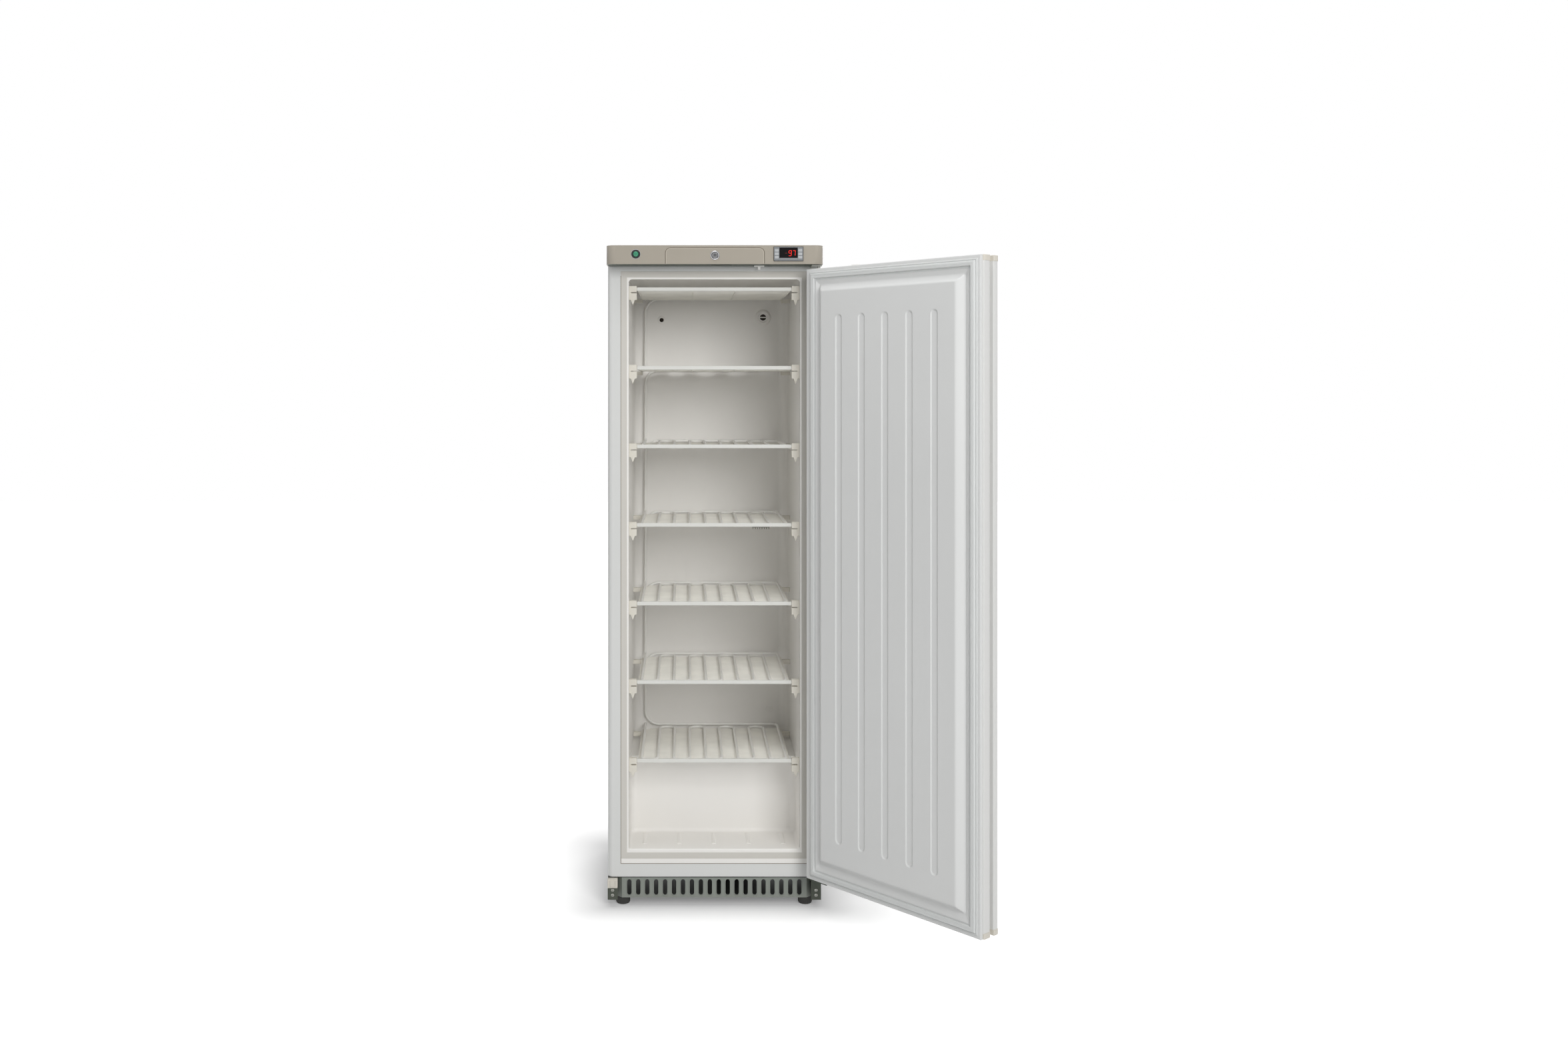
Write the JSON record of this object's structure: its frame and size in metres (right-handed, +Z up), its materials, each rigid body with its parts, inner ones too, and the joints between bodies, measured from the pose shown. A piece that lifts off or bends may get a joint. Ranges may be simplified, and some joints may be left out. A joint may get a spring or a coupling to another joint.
{
  "type": "upright freezer",
  "caption": "Tall white upright freezer with a right-hinged door standing open, refrigerated wire shelves, a beige control header with lock and controller, and a plinth grille.",
  "frame": {"origin": "on the floor, under the middle of the cabinet (mid width and mid depth of the 600 by 524 mm body)", "axes": "+Z up, +X to the right seen from the front, -Y to the front: the cabinet's front face is the plane y = -0.262"},
  "size_m": [0.9937, 1.062, 1.855],
  "materials": {
    "white_sheet": "satin white enamel on sheet steel",
    "galvanised_sheet": "zinc-coated sheet",
    "liner_plastic": "white moulded polystyrene, soft gloss",
    "door_liner_plastic": "white moulded polystyrene, soft gloss",
    "insulation_foam": null,
    "beige_plastic": "grey-beige moulded plastic, fine grain",
    "cap_plastic": "light beige moulded plastic",
    "handle_plastic": "light grey extruded plastic",
    "clip_plastic": "ivory moulded plastic",
    "grille_paint": "grey-green paint",
    "coil_aluminium": "bare matt tube",
    "shelf_wire": "thin wires, dull zinc",
    "rail_paint": "light grey paint",
    "dark_steel": "dark passivated steel",
    "black_paint": "black paint",
    "screw_steel": "zinc-coated",
    "chrome_trim": "polished",
    "gasket_rubber": "light grey soft vinyl with a magnetic strip",
    "black_rubber": "black",
    "foot_plastic": "black moulded plastic, ribbed rim",
    "black_plastic": "black moulded plastic",
    "button_green": "translucent green",
    "display_black": "dark window",
    "key_silver": "silver-grey",
    "white_plastic": "white moulded plastic",
    "hinge_nylon": "natural nylon",
    "brass_line": "copper tube"
  },
  "bodies": {
    "cabinet": {"base_tray": "galvanised_sheet", "bottom_front_rail": "white_sheet", "bracket_screws": "screw_steel", "cabinet_insulation": "insulation_foam", "cable_gland": "black_plastic", "compressor": "black_paint", "compressor_grommets": "black_rubber", "condenser_coil": "black_paint", "condenser_wires": "black_paint", "controller_case": "black_plastic", "controller_window": "display_black", "door_switch_base": "white_plastic", "evaporator_coil": "coil_aluminium", "header_base": "dark_steel", "header_fascia": "beige_plastic", "hinge_bracket_lower": "dark_steel", "hinge_bracket_upper": "screw_steel", "hinge_cover_left": "cap_plastic", "inner_liner": "liner_plastic", "lock_housing": "chrome_trim", "machine_room_panel": "galvanised_sheet", "plinth_grille": "grille_paint", "rear_panel": "galvanised_sheet", "rear_shelf_clips": "clip_plastic", "refrigerant_lines": "brass_line", "sensor_grommet": "liner_plastic", "shelf_clips": "clip_plastic", "shelf_rails": "rail_paint", "shelf_wires": "shelf_wire", "side_panel_left": "white_sheet", "side_panel_right": "white_sheet", "spare_bracket_left": "dark_steel", "switch_bezel": "black_plastic", "terminal_cover": "black_plastic", "top_cover": "white_sheet", "top_front_rail": "white_sheet", "vent_cap": "liner_plastic", "wall_plug": "liner_plastic"},
    "door": {"door_skin": "white_sheet", "door_liner": "door_liner_plastic", "door_insulation": "insulation_foam", "door_gasket": "gasket_rubber", "handle_strip": "handle_plastic", "handle_end_caps": "cap_plastic", "hinge_bushes": "hinge_nylon", "door_hinge_plate": "dark_steel", "switch_striker": "white_plastic"},
    "lock_barrel_body": {"lock_barrel": "chrome_trim"},
    "lamp_switch": {"switch_button": "button_green"},
    "door_switch": {"door_switch_peg": "white_plastic"},
    "key_1": {"controller_key_1": "key_silver"},
    "key_2": {"controller_key_2": "key_silver"},
    "key_3": {"controller_key_3": "key_silver"},
    "key_4": {"controller_key_4": "key_silver"},
    "key_5": {"controller_key_5": "key_silver"},
    "key_6": {"controller_key_6": "key_silver"},
    "foot_1": {"levelling_foot_1": "foot_plastic"},
    "foot_2": {"levelling_foot_2": "foot_plastic"},
    "foot_3": {"levelling_foot_3": "foot_plastic"},
    "foot_4": {"levelling_foot_4": "foot_plastic"}
  },
  "joints": [
    {"name": "door_hinge", "type": "hinge", "parent": "cabinet", "child": "door", "pos_m": [0.29, -0.312, 0], "axis": [0, 0, 1], "range_deg": [-131.2, 18.8]},
    {"name": "lock_turn", "type": "hinge", "parent": "cabinet", "child": "lock_barrel_body", "pos_m": [0, -0.33, 1.827], "axis": [0, 1, 0], "range_deg": [0, 90]},
    {"name": "lamp_switch_press", "type": "slide", "parent": "cabinet", "child": "lamp_switch", "axis": [0, 1, 0], "range_m": [0, 0.003], "stiffness_N_per_m": 400},
    {"name": "door_switch_press", "type": "slide", "parent": "cabinet", "child": "door_switch", "axis": [0, 0, 1], "range_m": [0, 0.004], "stiffness_N_per_m": 250},
    {"name": "key_1_press", "type": "slide", "parent": "cabinet", "child": "key_1", "axis": [0, 1, 0], "range_m": [0, 0.0008], "stiffness_N_per_m": 600},
    {"name": "key_2_press", "type": "slide", "parent": "cabinet", "child": "key_2", "axis": [0, 1, 0], "range_m": [0, 0.0008], "stiffness_N_per_m": 600},
    {"name": "key_3_press", "type": "slide", "parent": "cabinet", "child": "key_3", "axis": [0, 1, 0], "range_m": [0, 0.0008], "stiffness_N_per_m": 600},
    {"name": "key_4_press", "type": "slide", "parent": "cabinet", "child": "key_4", "axis": [0, 1, 0], "range_m": [0, 0.0008], "stiffness_N_per_m": 600},
    {"name": "key_5_press", "type": "slide", "parent": "cabinet", "child": "key_5", "axis": [0, 1, 0], "range_m": [0, 0.0008], "stiffness_N_per_m": 600},
    {"name": "key_6_press", "type": "slide", "parent": "cabinet", "child": "key_6", "axis": [0, 1, 0], "range_m": [0, 0.0008], "stiffness_N_per_m": 600},
    {"name": "foot_1_screw", "type": "slide", "parent": "cabinet", "child": "foot_1", "axis": [0, 0, -1], "range_m": [0, 0.01]},
    {"name": "foot_2_screw", "type": "slide", "parent": "cabinet", "child": "foot_2", "axis": [0, 0, -1], "range_m": [0, 0.01]},
    {"name": "foot_3_screw", "type": "slide", "parent": "cabinet", "child": "foot_3", "axis": [0, 0, -1], "range_m": [0, 0.01]},
    {"name": "foot_4_screw", "type": "slide", "parent": "cabinet", "child": "foot_4", "axis": [0, 0, -1], "range_m": [0, 0.01]}
  ]
}
